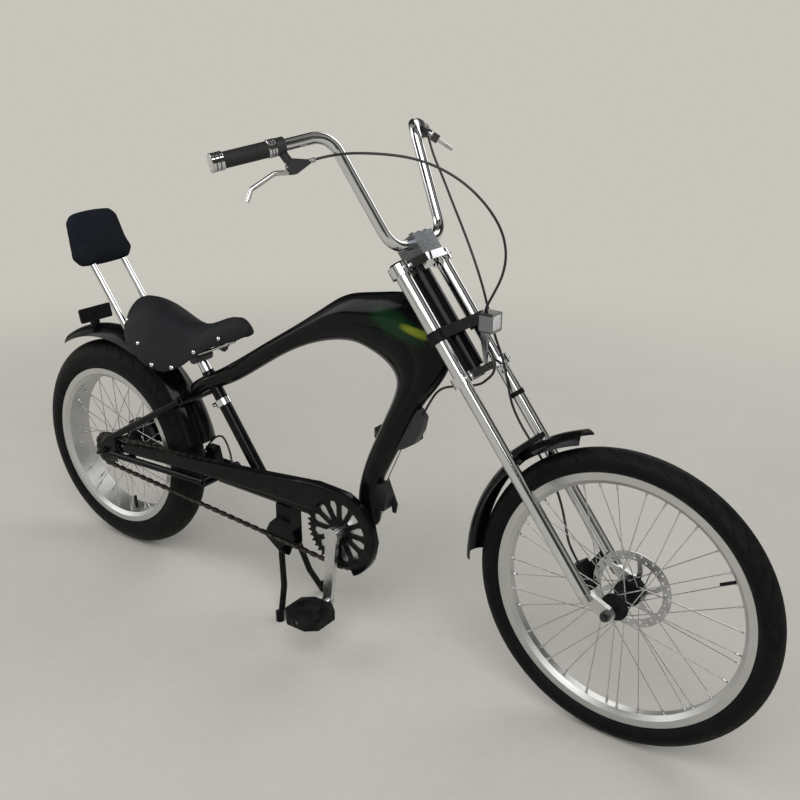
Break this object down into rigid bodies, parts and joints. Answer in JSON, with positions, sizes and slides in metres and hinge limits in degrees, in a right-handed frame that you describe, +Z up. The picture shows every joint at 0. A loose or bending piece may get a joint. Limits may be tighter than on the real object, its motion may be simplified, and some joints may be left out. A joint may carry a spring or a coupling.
{
  "type": "chopper bicycle",
  "caption": "Stretched black bicycle with a swept backbone frame, long raked chrome fork, tall handlebar, wide rear wheel, saddle with backrest and a centre stand.",
  "frame": {"origin": "middle of the bounding box in plan, on the floor", "axes": "+X forward, the long way of the bicycle; +Y to the rider's left, across it; +Z up"},
  "size_m": [1.9709, 0.6736, 1.1339],
  "materials": {
    "frame_black": "gloss",
    "chrome": "polished",
    "silver": "satin",
    "cast_grey": "cast",
    "dark_steel": "satin",
    "black_plastic": "matte",
    "grip_rubber": "matte",
    "tyre": "matte",
    "spoke_steel": "satin",
    "disc_steel": "brushed",
    "chain_steel": "oiled",
    "cable": "satin",
    "vinyl": "matte",
    "pad_cloth": "matte"
  },
  "bodies": {
    "frame": {"backbone": "frame_black", "head_tube": "frame_black", "bb_shell": "frame_black", "beam": "frame_black", "seat_tube": "frame_black", "seat_stays": "frame_black", "chain_stays": "frame_black", "dropouts": "frame_black", "stand_bracket": "frame_black", "chain_guard": "frame_black", "rear_fender": "frame_black", "rear_plate": "black_plastic", "seat_collar": "chrome", "seat_post": "chrome", "saddle": "vinyl", "saddle_clamp": "dark_steel", "saddle_rails": "chrome", "sissy_bar": "chrome", "backrest_pad": "pad_cloth", "rear_axle": "dark_steel", "rear_brake": "dark_steel", "chain": "chain_steel", "cable_guide": "dark_steel", "rear_cable_frame": "cable", "rear_brake_cable": "cable"},
    "steering": {"steerer": "dark_steel", "fork_legs": "chrome", "low_crown": "chrome", "top_crown": "chrome", "mid_clamps": "black_plastic", "bar_clamp": "cast_grey", "handlebar": "chrome", "grips": "grip_rubber", "levers": "silver", "front_brake_cable": "cable", "rear_cable_bar": "cable", "lamp": "silver", "fork_tips": "silver", "front_axle": "dark_steel", "front_fender": "frame_black", "fender_bridge": "black_plastic", "caliper": "black_plastic"},
    "front_wheel": {"front_tyre": "tyre", "front_rim": "silver", "front_spokes": "spoke_steel", "front_hub": "black_plastic", "front_valve": "grip_rubber", "brake_disc": "disc_steel"},
    "rear_wheel": {"rear_tyre": "tyre", "rear_rim": "silver", "rear_spokes": "spoke_steel", "rear_hub": "black_plastic", "rear_valve": "grip_rubber", "rear_sprocket": "dark_steel"},
    "crankset": {"chainwheel": "frame_black", "cranks": "silver", "spindle": "dark_steel"},
    "pedal_r": {"pedal_right": "black_plastic"},
    "pedal_l": {"pedal_left": "black_plastic"},
    "stand": {"stand": "frame_black"}
  },
  "joints": [
    {"name": "steer", "type": "hinge", "parent": "frame", "child": "steering", "pos_m": [0.65608, 0, 0.28273], "axis": [-0.6088, 0, 0.7934], "range_deg": [-45, 45]},
    {"name": "front_spin", "type": "hinge", "parent": "steering", "child": "front_wheel", "pos_m": [0.6825, 0, 0.303], "axis": [0, 1, 0], "continuous": true},
    {"name": "rear_spin", "type": "hinge", "parent": "frame", "child": "rear_wheel", "pos_m": [-0.7095, 0, 0.276], "axis": [0, 1, 0], "continuous": true},
    {"name": "crank_spin", "type": "hinge", "parent": "frame", "child": "crankset", "pos_m": [0.0475, 0, 0.272], "axis": [0, 1, 0], "continuous": true},
    {"name": "pedal_r_spin", "type": "hinge", "parent": "crankset", "child": "pedal_r", "pos_m": [0.03209, -0.144, 0.1027], "axis": [0, 1, 0], "continuous": true},
    {"name": "pedal_l_spin", "type": "hinge", "parent": "crankset", "child": "pedal_l", "pos_m": [0.06291, 0.144, 0.4413], "axis": [0, 1, 0], "continuous": true},
    {"name": "stand_fold", "type": "hinge", "parent": "frame", "child": "stand", "pos_m": [-0.1485, 0, 0.148], "axis": [0, 1, 0], "range_deg": [0, 95]}
  ]
}
